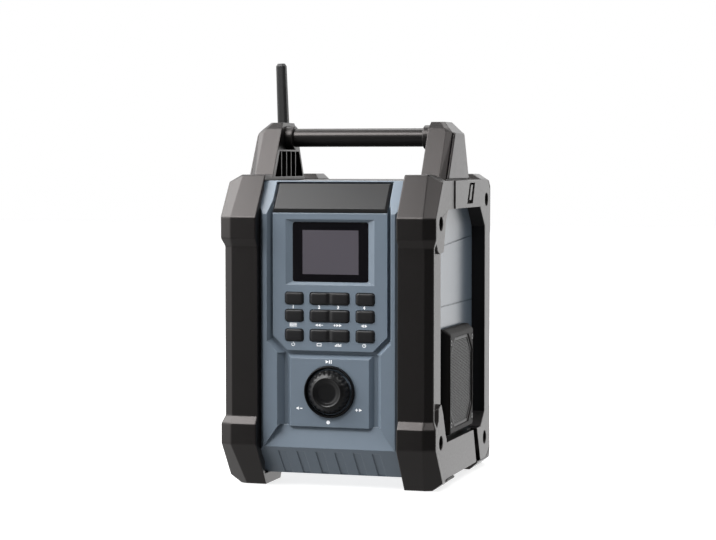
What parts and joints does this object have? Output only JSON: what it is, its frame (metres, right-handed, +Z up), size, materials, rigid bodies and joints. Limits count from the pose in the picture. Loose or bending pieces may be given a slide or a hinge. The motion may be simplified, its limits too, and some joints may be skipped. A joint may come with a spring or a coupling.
{
  "type": "jobsite radio",
  "caption": "rugged jobsite radio with a roll-bar handle, side loudspeakers, key pad, push-and-turn control, small display, folding antenna and a rear battery bay",
  "frame": {"origin": "on the ground under the middle of the body, without the antenna's overhang", "axes": "+Z up, the front with the display and the keys faces -Y, +X is the user's right when facing the front"},
  "size_m": [0.1881, 0.214, 0.363],
  "materials": {
    "blue_shell": "fine satin texture",
    "black_plastic": "satin moulded",
    "soft_black": "matt elastomer",
    "knob_black": "satin",
    "key_black": "satin silicone",
    "window_dark": "polished smoke",
    "display_glass": "polished",
    "white_plastic": "plain",
    "steel": "plain",
    "dark_steel": "blackened",
    "tube_black": "satin black",
    "mesh_black": "satin black",
    "circuit_board": "solder mask",
    "basket_metal": "black zinc",
    "cone_paper": "pressed fibre",
    "lead_red": "insulation",
    "ribbon": "flexible",
    "brass_plate": "plain"
  },
  "bodies": {
    "chassis": {"front_panel": "blue_shell", "rear_housing": "blue_shell", "top_deck": "black_plastic", "guard_front_left": "black_plastic", "guard_front_right": "black_plastic", "guard_rear_left": "black_plastic", "guard_rear_right": "black_plastic", "side_frame_left": "black_plastic", "side_frame_right": "black_plastic", "frame_screws": "dark_steel", "handle_bracket_left": "black_plastic", "handle_bracket_right": "black_plastic", "bracket_cover_left": "black_plastic", "bracket_cover_right": "black_plastic", "bracket_screws": "steel", "handle_tube": "tube_black", "handle_collar_left": "black_plastic", "handle_collar_right": "black_plastic", "label_plate": "black_plastic", "display_window": "window_dark", "display_module": "display_glass", "display_holder": "white_plastic", "key_mat": "white_plastic", "control_board": "circuit_board", "board_screws": "steel", "encoder_body": "steel", "knob_collar": "knob_black", "main_board": "circuit_board", "display_ribbon": "ribbon", "speaker_leads": "lead_red", "speaker_frame_left": "black_plastic", "speaker_frame_right": "black_plastic", "speaker_mesh_left": "mesh_black", "speaker_mesh_right": "mesh_black", "grille_screws": "dark_steel", "speaker_basket_left": "basket_metal", "speaker_basket_right": "basket_metal", "battery_dock": "black_plastic", "terminal_block": "brass_plate", "port_panel": "black_plastic", "flap_pin": "steel", "antenna_base": "soft_black", "antenna_pin": "steel", "housing_screws": "steel"},
    "key_r1_left": {"key_r1_left": "key_black"},
    "key_r1_right": {"key_r1_right": "key_black"},
    "rocker_r1": {"rocker_r1": "key_black"},
    "key_r2_left": {"key_r2_left": "key_black"},
    "key_r2_right": {"key_r2_right": "key_black"},
    "rocker_r2": {"rocker_r2": "key_black"},
    "key_r3_left": {"key_r3_left": "key_black"},
    "key_r3_right": {"key_r3_right": "key_black"},
    "rocker_r3": {"rocker_r3": "key_black"},
    "knob_plunger": {"encoder_plunger": "white_plastic"},
    "knob": {"control_knob": "knob_black", "encoder_shaft": "steel"},
    "speaker_cone_left": {"speaker_cone_left": "cone_paper"},
    "speaker_cone_right": {"speaker_cone_right": "cone_paper"},
    "antenna": {"antenna_rod": "soft_black"},
    "flap": {"port_flap": "soft_black"}
  },
  "joints": [
    {"name": "key_r1_left_press", "type": "slide", "parent": "chassis", "child": "key_r1_left", "axis": [0, 1, 0], "range_m": [0, 0.0008], "stiffness_N_per_m": 400},
    {"name": "key_r1_right_press", "type": "slide", "parent": "chassis", "child": "key_r1_right", "axis": [0, 1, 0], "range_m": [0, 0.0008], "stiffness_N_per_m": 400},
    {"name": "rocker_r1_rock", "type": "hinge", "parent": "chassis", "child": "rocker_r1", "pos_m": [0, -0.088, 0.1602], "axis": [0, 0, 1], "range_deg": [-2.5, 2.5], "stiffness_Nm_per_rad": 0.05},
    {"name": "key_r2_left_press", "type": "slide", "parent": "chassis", "child": "key_r2_left", "axis": [0, 1, 0], "range_m": [0, 0.0008], "stiffness_N_per_m": 400},
    {"name": "key_r2_right_press", "type": "slide", "parent": "chassis", "child": "key_r2_right", "axis": [0, 1, 0], "range_m": [0, 0.0008], "stiffness_N_per_m": 400},
    {"name": "rocker_r2_rock", "type": "hinge", "parent": "chassis", "child": "rocker_r2", "pos_m": [0, -0.088, 0.1457], "axis": [0, 0, 1], "range_deg": [-2.5, 2.5], "stiffness_Nm_per_rad": 0.05},
    {"name": "key_r3_left_press", "type": "slide", "parent": "chassis", "child": "key_r3_left", "axis": [0, 1, 0], "range_m": [0, 0.0008], "stiffness_N_per_m": 400},
    {"name": "key_r3_right_press", "type": "slide", "parent": "chassis", "child": "key_r3_right", "axis": [0, 1, 0], "range_m": [0, 0.0008], "stiffness_N_per_m": 400},
    {"name": "rocker_r3_rock", "type": "hinge", "parent": "chassis", "child": "rocker_r3", "pos_m": [0, -0.088, 0.1293], "axis": [0, 0, 1], "range_deg": [-2.5, 2.5], "stiffness_Nm_per_rad": 0.05},
    {"name": "knob_push", "type": "slide", "parent": "chassis", "child": "knob_plunger", "axis": [0, 1, 0], "range_m": [0, 0.001], "stiffness_N_per_m": 500},
    {"name": "knob_turn", "type": "hinge", "parent": "knob_plunger", "child": "knob", "pos_m": [0, -0.0985, 0.0823], "axis": [0, -1, 0], "continuous": true},
    {"name": "cone_left", "type": "slide", "parent": "chassis", "child": "speaker_cone_left", "axis": [-1, 0, 0], "range_m": [-0.0015, 0.0015], "stiffness_N_per_m": 800},
    {"name": "cone_right", "type": "slide", "parent": "chassis", "child": "speaker_cone_right", "axis": [1, 0, 0], "range_m": [-0.0015, 0.0015], "stiffness_N_per_m": 800},
    {"name": "antenna_tilt", "type": "hinge", "parent": "chassis", "child": "antenna", "pos_m": [-0.0868, 0.047, 0.27], "axis": [0, 1, 0], "range_deg": [0, 90]},
    {"name": "flap_open", "type": "hinge", "parent": "chassis", "child": "flap", "pos_m": [0, 0.1016, 0.2433], "axis": [1, 0, 0], "range_deg": [0, 100]}
  ]
}
